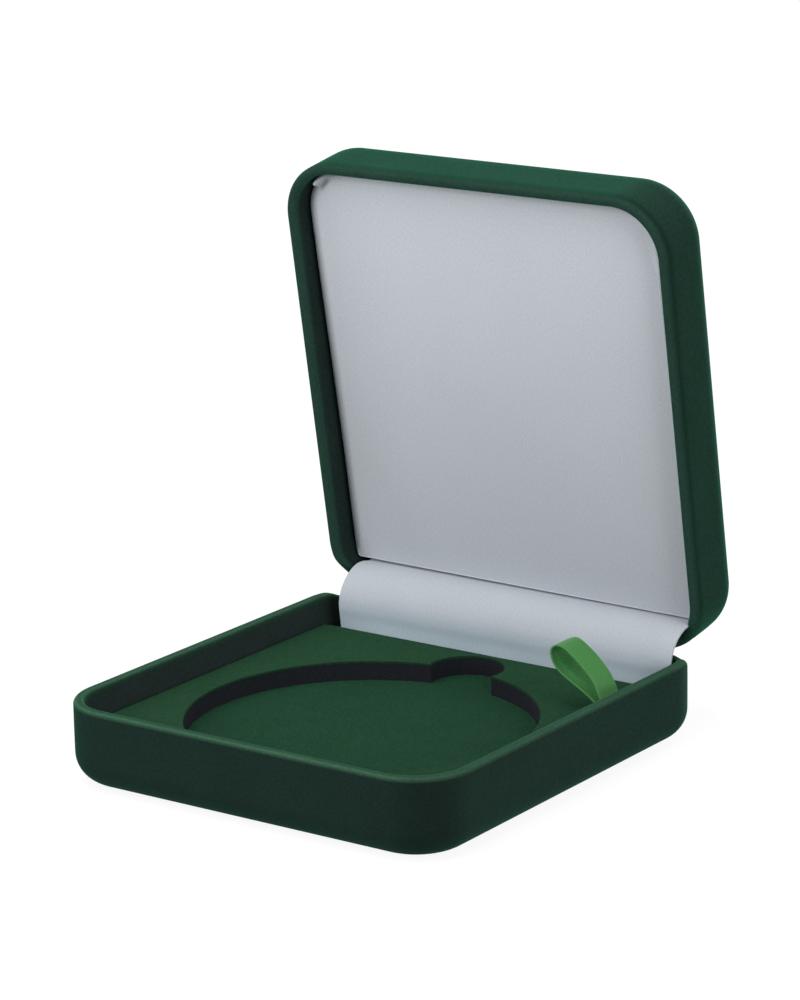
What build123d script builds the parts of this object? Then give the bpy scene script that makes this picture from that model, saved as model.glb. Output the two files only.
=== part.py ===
from build123d import *
from math import cos, radians, sin
import os

# Medal presentation case, standing open on its base. Millimetres, +Z up, +Y to the hinge side.
# The origin is the centre of the underside. Both halves are one moulding, used twice.

# Moulded halves, flocked with velour pile all over
case_width = 92.0
case_depth = 98.0
half_height = 16.8
corner_radius = 12.3
edge_round = 6.1
wall = 2.2
floor_thickness = 1.7
floor_bevel = 2.0
rim_round = 1.0
rim_bevel = 0.6

# The rims run lower along the back, so that the lid can swing over the base
rear_dip = 1.9
dip_run = 6.0
dip_lead = 3.2

# Lid and hinge line
open_angle = 80.8
closed_gap = 0.3
hinge_inset = 2.87
hinge_rise = 1.02

# Hinge leaves, rolled knuckles, pin and stop
hinge_length = 44.0
knuckle_count = 5
knuckle_gap = 0.2
leaf_thickness = 0.5
leaf_lift = 2.8
pin_radius = 0.5
pin_clearance = 0.03
knuckle_wall = 0.55
swing_gap = 0.35
stop_gap = 0.03
stop_reach = 2.1
notch_depth = 3.2
notch_gap = 0.6

# Snap spring and its cam
cam_flat = 1.3
spring_thickness = 0.3
spring_width = 7.0
spring_gap = 0.04
spring_foot_lift = 0.1
spring_foot_length = 4.6
spring_bend_rise = 3.4
spring_bend_round = 1.5
spring_over = 1.6

# Moulded rails and ledge that each leaf slides into, and the lanced tabs that hold the spring's foot
rail_gap = 0.05
rail_width = 1.2
rail_height = 6.2
rail_lip = 1.0
rail_lip_thickness = 0.7
ledge_height = 0.9
tab_gap = 0.05
tab_thickness = 0.4
tab_lip = 0.8
tab_height = 1.8
tab_rise = 1.2

# Insert and medal recess
insert_gap = 0.9
insert_rear_inset = 11.0
insert_corner = 1.0
insert_top = 10.75
insert_foam_thickness = 4.05
insert_card_thickness = 1.2
velour = 0.5
insert_lift_gap = 0.3
recess_radius = 35.3
recess_centre_y = -7.8
ring_notch_radius = 7.8
ring_notch_offset = 36.6
recess_velour_gap = 0.1

# Floor paper and foam block in the base
liner_thickness = 0.25
packing_inset = 5.6

# Ribbon pull, which comes up between the insert and the right wall
ribbon_width = 6.4
ribbon_thickness = 0.3
ribbon_near_y = 16.0
ribbon_wall_gap = 0.12
ribbon_strand_gap = 0.06
ribbon_reach = 15.0
ribbon_rise = 14.7
ribbon_shoulder_round = 9.0
ribbon_head_round = 2.5
ribbon_mouth_round = 0.9
ribbon_mouth_rise = 0.55

# Points of the ribbon's loop: share of its reach from the wall, share of its rise
ribbon_loop_shares = ((0.25, 0.41), (0.79, 1.0), (1.01, 0.63))

# Lining panel in the lid
lining_depth = 4.74
lining_gap = 0.3
lining_rear_inset = 6.8
lining_corner = 2.2
lining_round = 1.3
satin = 0.3
wadding_thickness = 2.0
wadding_bevel = 1.0
lid_board_thickness = 1.5

# Hinge flap and the batten that holds its foot
flap_side_gap = 2.5
flap_thickness = 0.35
flap_foot_inset = 10.0
flap_foot_low = 3.5
flap_shoulder_rise = 0.4
flap_tuck = 3.6
flap_tuck_gap = 0.3
flap_crest_share = (0.44, 0.98)
batten_side_gap = 6.3
batten_thickness = 1.4
batten_high = 9.6

# How near an edge must lie to be picked, how square it must stand, and how far cuts run past
pick = 0.01
upright_share = 0.99
overrun = 5.0

# Worked out from the sizes above
rear_face = case_depth / 2
rear_inner = rear_face - wall
side_inner = case_width / 2 - wall
inner_width = case_width - 2 * wall
inner_depth = case_depth - 2 * wall
inner_corner = corner_radius - wall
leaf_low = floor_thickness + floor_bevel + leaf_lift
hinge_y = rear_face - hinge_inset
base_axis_height = half_height + hinge_rise
lid_axis_height = half_height + closed_gap - hinge_rise
knuckle_radius = pin_radius + pin_clearance + knuckle_wall
knuckle_pitch = hinge_length / knuckle_count
insert_foam_top = insert_top - velour
insert_foam_low = insert_foam_top - insert_foam_thickness
insert_low = insert_foam_low - insert_card_thickness
insert_rear = rear_face - insert_rear_inset
lining_face = half_height - lining_depth
lining_rear = rear_face - lining_rear_inset
wadding_top = lining_face - satin
board_top = wadding_top - wadding_thickness
board_low = board_top - lid_board_thickness
flap_foot_y = rear_face - flap_foot_inset
flap_half_width = side_inner - flap_side_gap
batten_half_width = side_inner - batten_side_gap

# The base's frame, and the lid's: its own floor is its outer face, turned over and swung open
base_frame = Plane.XY
lid_closed = Plane(origin=(0, 0, 2 * half_height + closed_gap), x_dir=(-1, 0, 0), z_dir=(0, 0, -1))
hinge_line = Location((0, hinge_y, base_axis_height))
opening = hinge_line * Location((0, 0, 0), (-open_angle, 0, 0)) * hinge_line.inverse()
lid_frame = Plane(opening * lid_closed.location)

os.makedirs("parts", exist_ok=True)


def side_plane(frame):
    """The plane across a half: its first axis is the half's depth, its second the half's height"""
    return Plane(origin=frame.origin, x_dir=frame.y_dir, z_dir=frame.x_dir)


def edges_at(piece, frame, height):
    """The edges that lie all at one height of a half"""
    return piece.edges().filter_by_position(Axis(frame.origin, frame.z_dir), height - pick, height + pick)


def form_half(frame):
    """One half of the case: a block with a large rounding below, hollowed to an even wall"""
    with BuildPart() as block:
        with BuildSketch(frame):
            RectangleRounded(case_width, case_depth, corner_radius)
        extrude(amount=half_height)
        fillet(edges_at(block, frame, 0), edge_round)
    with BuildPart() as hollow:
        with BuildSketch(frame.offset(floor_thickness)):
            RectangleRounded(inner_width, inner_depth, inner_corner)
        extrude(amount=half_height)
        chamfer(edges_at(hollow, frame, floor_thickness), floor_bevel)
    add(block.part)
    add(hollow.part, mode=Mode.SUBTRACT)


def dip_rear_rim(frame):
    """Lower the rear rim, by a slope with rounded ends at each rear corner"""
    low = half_height - rear_dip
    start = rear_face - corner_radius + dip_lead
    end = start + dip_run
    with BuildSketch(side_plane(frame)) as above:
        with BuildLine():
            slope = Spline((start, half_height), (end, low), tangents=((1, 0), (1, 0)))
            Polyline(slope @ 1, (rear_face + overrun, low), (rear_face + overrun, half_height), slope @ 0)
        make_face()
    extrude(above.sketch, amount=case_width / 2, both=True, mode=Mode.SUBTRACT)


def ease_rim(piece, frame):
    """Round the rim's outer edge and bevel its inner one, over the slopes too"""
    outer = [edge for edge in rim_edges(piece, frame) if depth_in_plan(edge, frame) < wall / 2]
    fillet(outer, rim_round)
    inner = [edge for edge in rim_edges(piece, frame) if depth_in_plan(edge, frame) > wall - pick]
    chamfer(inner, rim_bevel)


def rim_edges(piece, frame):
    """The edges that lie along the rim, both inner and outer"""
    up = Axis(frame.origin, frame.z_dir)
    upper = piece.edges().filter_by_position(up, half_height - rear_dip - pick, half_height + pick)
    return [edge for edge in upper if not is_upright(edge, frame)]


def depth_in_plan(edge, frame):
    """How far inside the outer outline an edge's middle lies, in plan"""
    middle = frame.to_local_coords(edge.position_at(0.5))
    across = case_width / 2 - abs(middle.X)
    along = case_depth / 2 - abs(middle.Y)
    if across < corner_radius and along < corner_radius:
        return corner_radius - Vector(corner_radius - across, corner_radius - along).length
    return min(across, along)


def is_upright(edge, frame):
    """Whether an edge runs along the height of a half"""
    along = edge.position_at(1) - edge.position_at(0)
    return along.length > 0 and abs(along.normalized().dot(frame.z_dir)) > upright_share


def notch_rear_rim(frame):
    """Cut the notch in the rear wall that the hinge lies in"""
    with BuildSketch(frame.offset(half_height - notch_depth)) as notch:
        with Locations((0, rear_face - wall / 2)):
            Rectangle(hinge_length + 2 * notch_gap, 2 * wall)
    extrude(notch.sketch, amount=notch_depth + overrun, mode=Mode.SUBTRACT)


def wall_plane(frame):
    """The rear wall's inner face, seen from inside: across, up, and forward out of the wall"""
    return Plane(frame.from_local_coords((0, rear_inner, 0)), frame.x_dir, -frame.y_dir)


def make_leaf_seat(frame):
    """Rails with lips over the leaf's ends, and a ledge under its lower edge"""
    face = wall_plane(frame)
    for side in (-1, 1):
        rail_x = side * (hinge_length / 2 + rail_gap + rail_width / 2)
        lip_x = side * (hinge_length / 2 + rail_gap + rail_width / 2 - rail_lip / 2)
        with BuildSketch(face) as rail:
            with Locations((rail_x, leaf_low + rail_height / 2)):
                Rectangle(rail_width, rail_height)
        extrude(rail.sketch, amount=leaf_thickness + rail_gap + rail_lip_thickness)
        with BuildSketch(face.offset(leaf_thickness + rail_gap)) as lip:
            with Locations((lip_x, leaf_low + rail_height / 2)):
                Rectangle(rail_width + rail_lip, rail_height)
        extrude(lip.sketch, amount=rail_lip_thickness)
    with BuildSketch(face) as ledge:
        with Locations((0, leaf_low - rail_gap - ledge_height / 2)):
            Rectangle(hinge_length, ledge_height)
    extrude(ledge.sketch, amount=leaf_thickness + rail_gap + rail_lip_thickness)


def inner_outline(inset, rear, rear_round):
    """The inside of a half, drawn in, cut off straight at the back, with its two corners there rounded"""
    with BuildSketch() as outline:
        RectangleRounded(inner_width - 2 * inset, inner_depth - 2 * inset, inner_corner - inset)
        with Locations((0, rear + case_depth / 2)):
            Rectangle(case_width, case_depth, mode=Mode.SUBTRACT)
        fillet(outline.vertices().group_by(Axis.Y)[-1], rear_round)
    return outline.sketch


def packing_outline(inset, rear):
    """A plain rounded rectangle on the flat of a half's floor"""
    front = inset - inner_depth / 2
    with Locations((0, (front + rear) / 2)):
        RectangleRounded(inner_width - 2 * inset, rear - front, inner_corner - inset)


def recess_outline(gap, mode):
    """The round recess for the medal and the notch for its suspension ring"""
    with Locations((0, recess_centre_y)):
        Circle(recess_radius - gap, mode=mode)
    with Locations((0, recess_centre_y + ring_notch_offset)):
        Circle(ring_notch_radius - gap, mode=mode)


def knuckle_x(index):
    """The middle of a knuckle, counted from the left"""
    return (index - (knuckle_count - 1) / 2) * knuckle_pitch


def form_leaf(frame, axis_height, own):
    """A hinge leaf: a plate on the rear wall, fingers, and knuckles rolled round the pin"""
    finger = knuckle_pitch - knuckle_gap
    plate_top = axis_height - knuckle_radius - swing_gap
    finger_top = axis_height - knuckle_radius + knuckle_wall / 2
    with BuildSketch(wall_plane(frame)) as plate:
        with Locations((0, (leaf_low + plate_top) / 2)):
            Rectangle(hinge_length, plate_top - leaf_low)
        for index in own:
            with Locations((knuckle_x(index), (leaf_low + finger_top) / 2)):
                Rectangle(finger, finger_top - leaf_low)
    extrude(plate.sketch, amount=leaf_thickness)
    for index in own:
        with BuildSketch(side_plane(frame).offset(knuckle_x(index) - finger / 2)) as knuckle:
            with Locations((hinge_y, axis_height)):
                Circle(knuckle_radius)
        extrude(knuckle.sketch, amount=finger)


def bore_leaf(frame, axis_height, clearance):
    """Open the knuckles for the pin"""
    with BuildSketch(side_plane(frame)) as bore:
        with Locations((hinge_y, axis_height)):
            Circle(pin_radius + clearance)
    extrude(bore.sketch, amount=hinge_length, both=True, mode=Mode.SUBTRACT)


# Base shell
with BuildPart() as base_shell:
    form_half(base_frame)
    dip_rear_rim(base_frame)
    ease_rim(base_shell, base_frame)
    notch_rear_rim(base_frame)
    make_leaf_seat(base_frame)

# Lid shell, the same moulding
with BuildPart() as lid_shell:
    form_half(lid_frame)
    dip_rear_rim(lid_frame)
    ease_rim(lid_shell, lid_frame)
    notch_rear_rim(lid_frame)
    make_leaf_seat(lid_frame)

# Paper on the base's floor
with BuildPart() as floor_liner:
    with BuildSketch(base_frame.offset(floor_thickness)):
        packing_outline(packing_inset - insert_gap, insert_rear)
    extrude(amount=liner_thickness)

# Foam block that carries the insert
with BuildPart() as base_packing:
    with BuildSketch(base_frame.offset(floor_thickness + liner_thickness)):
        packing_outline(packing_inset, insert_rear - insert_gap)
    extrude(amount=insert_low - insert_lift_gap - floor_thickness - liner_thickness)

# Stiff card under the insert
with BuildPart() as insert_card:
    with BuildSketch(base_frame.offset(insert_low)):
        add(inner_outline(insert_gap, insert_rear, insert_corner))
    extrude(amount=insert_card_thickness)

# Foam of the insert, cut out for the medal and its ring
with BuildPart() as insert_foam:
    with BuildSketch(base_frame.offset(insert_foam_low)):
        add(inner_outline(insert_gap, insert_rear, insert_corner))
        recess_outline(0, Mode.SUBTRACT)
    extrude(amount=insert_foam_thickness)

# Velour sheet on the insert
with BuildPart() as insert_velour:
    with BuildSketch(base_frame.offset(insert_foam_top)):
        add(inner_outline(insert_gap, insert_rear, insert_corner))
        recess_outline(0, Mode.SUBTRACT)
    extrude(amount=velour)

# Velour floor of the recess
with BuildPart() as recess_velour:
    with BuildSketch(base_frame.offset(insert_foam_low)):
        recess_outline(recess_velour_gap, Mode.ADD)
    extrude(amount=velour)

# Ribbon pull: up the wall, over in a loop, and down again beside itself
outer_strand_x = side_inner - ribbon_wall_gap - ribbon_thickness / 2
inner_strand_x = outer_strand_x - ribbon_thickness - ribbon_strand_gap
loop_points = [
    (outer_strand_x - across * ribbon_reach, insert_top + up * ribbon_rise)
    for across, up in ribbon_loop_shares
]
ribbon_plane = Plane(origin=(0, ribbon_near_y, 0), x_dir=(1, 0, 0), z_dir=(0, -1, 0))
with BuildPart() as ribbon_loop:
    with BuildSketch(ribbon_plane):
        with BuildLine() as ribbon_line:
            FilletPolyline(
                (outer_strand_x, insert_low),
                (outer_strand_x, insert_top + ribbon_mouth_rise),
                *loop_points,
                (inner_strand_x, insert_top + ribbon_mouth_rise / 2),
                (inner_strand_x, insert_low),
                radius=[ribbon_mouth_round, ribbon_shoulder_round, ribbon_head_round, ribbon_head_round,
                        ribbon_mouth_round],
            )
        trace(ribbon_line.line, line_width=ribbon_thickness)
    extrude(amount=-ribbon_width)

# Foam block in the lid, behind the lining panel
with BuildPart() as lid_packing:
    with BuildSketch(lid_frame.offset(floor_thickness)):
        packing_outline(packing_inset, lining_rear - packing_inset)
    extrude(amount=board_low - floor_thickness)

# Board of the lining panel
with BuildPart() as lid_board:
    with BuildSketch(lid_frame.offset(board_low)):
        add(inner_outline(lining_gap + satin, lining_rear - satin, lining_corner - satin))
    extrude(amount=lid_board_thickness)

# Wadding that softens the panel's edges
with BuildPart() as lid_wadding:
    with BuildSketch(lid_frame.offset(board_top)):
        add(inner_outline(lining_gap + satin, lining_rear - satin, lining_corner - satin))
    extrude(amount=wadding_thickness)
    chamfer(edges_at(lid_wadding, lid_frame, wadding_top), wadding_bevel)

# Satin drawn over the panel and round its edges
with BuildPart() as lid_satin:
    with BuildSketch(lid_frame.offset(board_low)):
        add(inner_outline(lining_gap, lining_rear, lining_corner))
    extrude(amount=lining_face - board_low)
    fillet(edges_at(lid_satin, lid_frame, lining_face), lining_round)
    add(lid_board.part, mode=Mode.SUBTRACT)
    add(lid_wadding.part, mode=Mode.SUBTRACT)

# Hinge leaf on the base, with the knuckles that hold the pin and two tabs folded over the spring's foot
tab_low = leaf_low + tab_rise
with BuildPart() as hinge_base_leaf:
    form_leaf(base_frame, base_axis_height, (1, 3))
    bore_leaf(base_frame, base_axis_height, 0)
    for side in (-1, 1):
        with BuildSketch(wall_plane(base_frame).offset(leaf_thickness)):
            with Locations((side * (spring_width / 2 + tab_gap + tab_thickness / 2),
                            tab_low + tab_height / 2)):
                Rectangle(tab_thickness, tab_height)
        extrude(amount=spring_thickness + tab_gap + tab_thickness)
        with BuildSketch(wall_plane(base_frame).offset(leaf_thickness + spring_thickness + tab_gap)):
            with Locations((side * (spring_width / 2 + tab_gap + (tab_thickness - tab_lip) / 2),
                            tab_low + tab_height / 2)):
                Rectangle(tab_thickness + tab_lip, tab_height)
        extrude(amount=tab_thickness)

# Hinge leaf on the lid, with the cam and the stop at its middle knuckle
cam_half = (knuckle_pitch - knuckle_gap) / 2
axis_point = Vector(hinge_y, base_axis_height)
front_flat = axis_point + Vector(-cam_flat, 0)
top_flat = axis_point + Vector(-sin(radians(90 - open_angle)), cos(radians(90 - open_angle))) * cam_flat
cam_corner = axis_point + Vector(-cos(radians(open_angle / 2)), sin(radians(open_angle / 2))) * (
    cam_flat / cos(radians(open_angle / 2)))
with BuildPart() as hinge_lid_leaf:
    form_leaf(lid_frame, lid_axis_height, (0, 2, 4))
    with BuildSketch(side_plane(base_frame)):
        with BuildLine():
            Polyline(axis_point, front_flat, cam_corner, top_flat, close=True)
        make_face()
    extrude(amount=cam_half, both=True)
    with BuildSketch(side_plane(base_frame)):
        stop_y = rear_inner + stop_gap + leaf_thickness / 2
        with Locations((stop_y, base_axis_height - stop_reach / 2)):
            Rectangle(leaf_thickness, stop_reach)
    extrude(amount=cam_half, both=True)
    bore_leaf(base_frame, base_axis_height, pin_clearance)

# Hinge pin
with BuildPart() as hinge_pin:
    with BuildSketch(side_plane(base_frame)):
        with Locations((hinge_y, base_axis_height)):
            Circle(pin_radius)
    extrude(amount=hinge_length / 2, both=True)

# Snap spring: a blade held by the base leaf's tabs, which presses on the cam
spring_foot_y = rear_inner - leaf_thickness - spring_thickness / 2
spring_blade_y = hinge_y - cam_flat - spring_gap - spring_thickness / 2
spring_foot_low = leaf_low + spring_foot_lift
spring_foot_high = spring_foot_low + spring_foot_length
with BuildPart() as snap_spring:
    with BuildSketch(side_plane(base_frame)):
        with BuildLine() as spring_line:
            FilletPolyline(
                (spring_foot_y, spring_foot_low),
                (spring_foot_y, spring_foot_high),
                (spring_blade_y, spring_foot_high + spring_bend_rise),
                (spring_blade_y, base_axis_height + spring_over),
                radius=spring_bend_round,
            )
        trace(spring_line.line, line_width=spring_thickness)
    extrude(amount=spring_width / 2, both=True)

# Batten that stands behind the insert and holds the flap's foot
batten_front = flap_foot_y + flap_thickness / 2
with BuildPart() as flap_batten:
    with BuildSketch(base_frame.offset(floor_thickness)):
        with Locations((0, batten_front + batten_thickness / 2)):
            Rectangle(2 * batten_half_width, batten_thickness)
    extrude(amount=batten_high - floor_thickness)

# Satin flap over the hinge: up from behind the insert, over, and in below the lining panel
tuck_y = lining_rear + flap_tuck_gap + flap_thickness / 2
tuck_start = lid_frame.from_local_coords((0, tuck_y, lining_face))
tuck_end = lid_frame.from_local_coords((0, tuck_y, lining_face - flap_tuck))
shoulder = half_height + flap_shoulder_rise
crest = (flap_foot_y + flap_crest_share[0] * (tuck_start.Y - flap_foot_y),
         shoulder + flap_crest_share[1] * (tuck_start.Z - shoulder))
with BuildPart() as hinge_flap:
    with BuildSketch(side_plane(base_frame)):
        with BuildLine() as flap_line:
            rise = Line((flap_foot_y, flap_foot_low), (flap_foot_y, shoulder))
            bend = TangentArc(rise @ 1, crest, tangent=rise % 1)
            roof = TangentArc(bend @ 1, (tuck_start.Y, tuck_start.Z), tangent=bend % 1)
            Line(roof @ 1, (tuck_end.Y, tuck_end.Z))
        trace(flap_line.line, line_width=flap_thickness)
    extrude(amount=flap_half_width, both=True)

pieces = {
    "base_shell": base_shell,
    "lid_shell": lid_shell,
    "floor_liner": floor_liner,
    "base_packing": base_packing,
    "insert_card": insert_card,
    "insert_foam": insert_foam,
    "insert_velour": insert_velour,
    "recess_velour": recess_velour,
    "ribbon_loop": ribbon_loop,
    "lid_packing": lid_packing,
    "lid_board": lid_board,
    "lid_wadding": lid_wadding,
    "lid_satin": lid_satin,
    "hinge_base_leaf": hinge_base_leaf,
    "hinge_lid_leaf": hinge_lid_leaf,
    "hinge_pin": hinge_pin,
    "snap_spring": snap_spring,
    "flap_batten": flap_batten,
    "hinge_flap": hinge_flap,
}
for label, piece in pieces.items():
    piece.part.label = label
    export_step(piece.part, f"parts/{label}.step")
    print(label, len(piece.part.solids()), round(piece.part.volume, 2))
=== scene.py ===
import bmesh
import bpy
import math
import numpy as np
from mathutils import Matrix, Vector


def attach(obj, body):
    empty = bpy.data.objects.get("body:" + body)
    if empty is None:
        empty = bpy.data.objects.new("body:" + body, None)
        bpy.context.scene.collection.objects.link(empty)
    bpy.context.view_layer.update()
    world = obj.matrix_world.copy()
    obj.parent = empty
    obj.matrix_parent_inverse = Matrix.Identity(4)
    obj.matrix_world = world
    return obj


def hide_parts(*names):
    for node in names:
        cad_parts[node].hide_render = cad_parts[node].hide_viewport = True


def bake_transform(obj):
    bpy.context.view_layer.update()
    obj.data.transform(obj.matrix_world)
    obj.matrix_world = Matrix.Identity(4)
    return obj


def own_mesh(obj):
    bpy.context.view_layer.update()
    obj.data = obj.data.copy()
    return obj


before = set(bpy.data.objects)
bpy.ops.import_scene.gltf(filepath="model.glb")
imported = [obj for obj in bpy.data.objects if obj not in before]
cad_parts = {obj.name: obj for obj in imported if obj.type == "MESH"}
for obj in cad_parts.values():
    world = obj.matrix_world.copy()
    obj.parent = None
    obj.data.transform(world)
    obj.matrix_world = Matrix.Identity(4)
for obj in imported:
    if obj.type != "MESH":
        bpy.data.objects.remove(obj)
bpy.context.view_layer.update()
scene = bpy.context.scene
mm = 0.001

# the case's own sizes, millimetres and degrees; line is the painted shade band below the rim, and swell is how far
# the outer walls wander from flat
case = {
    "halfWidth": 46.0,
    "halfDepth": 49.0,
    "height": 16.8,
    "corner": 12.3,
    "wall": 2.2,
    "floor": 1.7,
    "floorBevel": 2.0,
    "edgeRound": 6.1,
    "rimOuter": 1.05,
    "rimInner": 0.85,
    "lineDepth": 2.1,
    "swell": 0.05,
    "swellScale": 26,
    "swellLow": (6, 8),
    "swellHigh": (13, 15.5),
}
hinge = {"y": 46.13, "z": 17.82, "angle": 80.8, "closedGap": 0.3}

# the back of each half: the rim dips there, with a notch over the hinge
rear = {
    "dip": 1.9,
    "dipRun": (39.9, 45.9),
    "notch": 1.3,
    "notchFrom": 40,
    "notchHalfWidth": 22.6,
    "notchSlope": 0.25,
    "notchStations": (22.75, 22.6, 22.35, 22.1),
    "followRun": (8.0, 15.2),
}

# what holds a hinge leaf in each half: two rails with lips, and a ledge
rails = {
    "post": (22.05, 23.25),
    "lip": (21.05, 22.3),
    "front": 45.55,
    "lipBack": 46.25,
    "inWall": 47.2,
    "height": (6.5, 12.7),
    "ledgeHalfWidth": 22.0,
    "ledgeHeight": (5.55, 6.45),
}


# From a half's own coordinates, in millimetres, to the row frame, for the lid when open
def lidMatrix():
    turn = Matrix.Rotation(math.radians(-hinge["angle"]), 4, "X")
    to = Matrix.Translation((0, hinge["y"], hinge["z"]))
    back = Matrix.Translation((0, -hinge["y"], -hinge["z"]))
    shutHeight = 2 * case["height"] + hinge["closedGap"]
    flip = Matrix(((-1, 0, 0, 0), (0, 1, 0, 0), (0, 0, -1, shutHeight), (0, 0, 0, 1)))
    return to @ turn @ back @ flip


baseToRow = Matrix.Identity(4)
lidToRow = lidMatrix()


def smooth(value, low, high):
    t = np.clip((np.asarray(value, float) - low) / (high - low), 0, 1)
    return t * t * (3 - 2 * t)


# A smooth wandering value, about -1 to 1, the same at each run
def waves(points, scale, seed, count=5):
    rng = np.random.default_rng(seed)
    total = np.zeros(len(points))
    for _ in range(count):
        way = rng.normal(size=3)
        way /= np.linalg.norm(way)
        total += np.sin(points @ way * (2 * math.pi / scale) * rng.uniform(0.6, 1.5) + rng.uniform(0, 6.28))
    return total / math.sqrt(count) / 1.4


# A small uneven sinking, from none to about the given depth
def sag(points, depth, scale, seed):
    return depth * (0.5 + 0.5 * waves(points, scale, seed))


# A mesh given in millimetres, placed in the row frame in metres, with its faces turned outward
def makeObject(name, verts, faces, toRow):
    place = np.array(toRow)
    v = np.asarray(verts, float) @ place[:3, :3].T + place[:3, 3]
    mesh = bpy.data.meshes.new(name)
    mesh.from_pydata((v * mm).tolist(), [], faces)
    mesh.validate()
    mesh.polygons.foreach_set("use_smooth", [True] * len(mesh.polygons))
    work = bmesh.new()
    work.from_mesh(mesh)
    bmesh.ops.recalc_face_normals(work, faces=work.faces)
    work.to_mesh(mesh)
    work.free()
    obj = bpy.data.objects.new(name, mesh)
    scene.collection.objects.link(obj)
    return obj


def addValue(obj, name, values):
    layer = obj.data.attributes.new(name, "FLOAT", "POINT")
    layer.data.foreach_set("value", np.asarray(values, np.float32))


# Each point's place on the cloth, in metres, as its texture place
def addUv(obj, uv):
    layer = obj.data.uv_layers.new(name="cloth")
    which = np.zeros(len(obj.data.loops), int)
    obj.data.loops.foreach_get("vertex_index", which)
    layer.data.foreach_set("uv", np.asarray(uv, np.float32)[which].ravel())


# Edges steeper than the angle are shaded sharp
def sharpen(obj, angle):
    obj.data.set_sharp_from_angle(angle=math.radians(angle))


# Stations round a rounded rectangle: core point, outward way, and corner radius
def roundedStations(halfWidth, low, high, cornerLow, cornerHigh, perSide, perCorner):
    corners = [
        ((halfWidth - cornerLow, low + cornerLow), -90, cornerLow),
        ((halfWidth - cornerHigh, high - cornerHigh), 0, cornerHigh),
        ((-halfWidth + cornerHigh, high - cornerHigh), 90, cornerHigh),
        ((-halfWidth + cornerLow, low + cornerLow), 180, cornerLow),
    ]
    core, way, radius = [], [], []
    for index, (centre, start, r) in enumerate(corners):
        for step in range(perCorner + 1):
            angle = math.radians(start + 90 * step / perCorner)
            core.append(centre)
            way.append((math.cos(angle), math.sin(angle)))
            radius.append(r)
        other, _, otherRadius = corners[(index + 1) % 4]
        angle = math.radians(start + 90)
        out = np.array((math.cos(angle), math.sin(angle)))
        first = np.array(centre) + out * r
        last = np.array(other) + out * otherRadius
        for t in sideSteps(first, last, perSide, index):
            core.append(tuple(first + (last - first) * t - out * r))
            way.append(tuple(out))
            radius.append(r)
    return np.array(core), np.array(way), np.array(radius)


# Shares along one side; the rear one (index 1) has more of them at the ends of the hinge's notch
def sideSteps(first, last, count, index):
    steps = set(np.linspace(0, 1, count + 2)[1:-1].tolist())
    if index == 1:
        length = abs(last[0] - first[0])
        for x in rear["notchStations"]:
            for side in (-1, 1):
                steps.add(abs(side * x - first[0]) / length)
    return sorted(steps)


# A ring of points at the given height or heights
def level(points, z):
    return np.column_stack([points, np.full(len(points), z)])


# Faces between successive rings of the same number of stations
def ringFaces(rings, stations):
    faces = []
    for r in range(rings - 1):
        a, b = r * stations, (r + 1) * stations
        for s in range(stations):
            t = (s + 1) % stations
            faces.append((a + s, a + t, b + t, b + s))
    return faces


# The same, with the first and the last ring closed
def cappedFaces(rings, stations):
    last = (rings - 1) * stations
    return ringFaces(rings, stations) + [tuple(range(stations))[::-1], tuple(range(last, last + stations))]


# which stretch of a half's profile a ring belongs to
outerPart, rimPart, innerPart = 0, 1, 2

# painted highlight: the bright line along the rim, on its outer and its inner round: angle, spread and height
crestLine = {outerPart: (47, 24, 1.0), innerPart: (38, 26, 0.8)}


def crestAt(angle, side):
    peak, spread, height = crestLine[side]
    return height * math.exp(-((angle - peak) / spread) ** 2)


# Inset, height, stretch and painted highlight, from the underside round the rim to the inner floor
def halfProfile():
    h, w, e = case["height"], case["wall"], case["edgeRound"]
    big, small, bevel = case["rimOuter"], case["rimInner"], case["floorBevel"]
    low = case["floor"] + bevel
    out = []
    for a in np.linspace(0, 90, 15):
        out.append((e - e * math.sin(math.radians(a)), e - e * math.cos(math.radians(a)), outerPart, 0))
    for z in np.linspace(e, h - big, 12)[1:]:
        out.append((0, z, outerPart, 0))
    for angle in np.linspace(0, 90, 13)[1:]:
        a = math.radians(angle)
        bright = crestAt(angle, outerPart)
        out.append((big - big * math.cos(a), h - big + big * math.sin(a), rimPart, bright))
    for angle in np.linspace(0, 90, 10):
        a = math.radians(angle)
        bright = crestAt(angle, innerPart)
        out.append((w - small + small * math.sin(a), h - small + small * math.cos(a), rimPart, bright))
    for z in np.linspace(h - small, low, 9)[1:]:
        out.append((w, z, innerPart, 0))
    for angle in np.linspace(0, 90, 7)[1:]:
        a = math.radians(angle)
        out.append((w + bevel * (1 - math.cos(a)), low - bevel * math.sin(a), innerPart, 0))
    return np.array(out)


# An eight-cornered block with eased edges
def boxIsland(low, high, bevel=0.15):
    x0, y0, z0 = low
    x1, y1, z1 = high
    verts = []
    for z, inset in ((z0, bevel), (z0 + bevel, 0), (z1 - bevel, 0), (z1, bevel)):
        for px, py, sx, sy in ((x0, y0, 1, 1), (x1, y0, -1, 1), (x1, y1, -1, -1), (x0, y1, 1, -1)):
            first = (px + sx * (inset + bevel), py + sy * inset, z)
            second = (px + sx * inset, py + sy * (inset + bevel), z)
            verts += [second, first] if sx * sy > 0 else [first, second]
    return verts, cappedFaces(4, 8)


# Low and high corners of the rails, their lips and the ledge
def railBoxes():
    low, high = rails["height"]
    boxes = []
    for side in (-1, 1):
        for key, back in (("post", rails["inWall"]), ("lip", rails["lipBack"])):
            near, far = sorted(side * x for x in rails[key])
            boxes.append(((near, rails["front"], low), (far, back, high)))
    low, high = rails["ledgeHeight"]
    half = rails["ledgeHalfWidth"]
    boxes.append(((-half, rails["front"], low), (half, rails["inWall"], high)))
    return boxes


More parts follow.
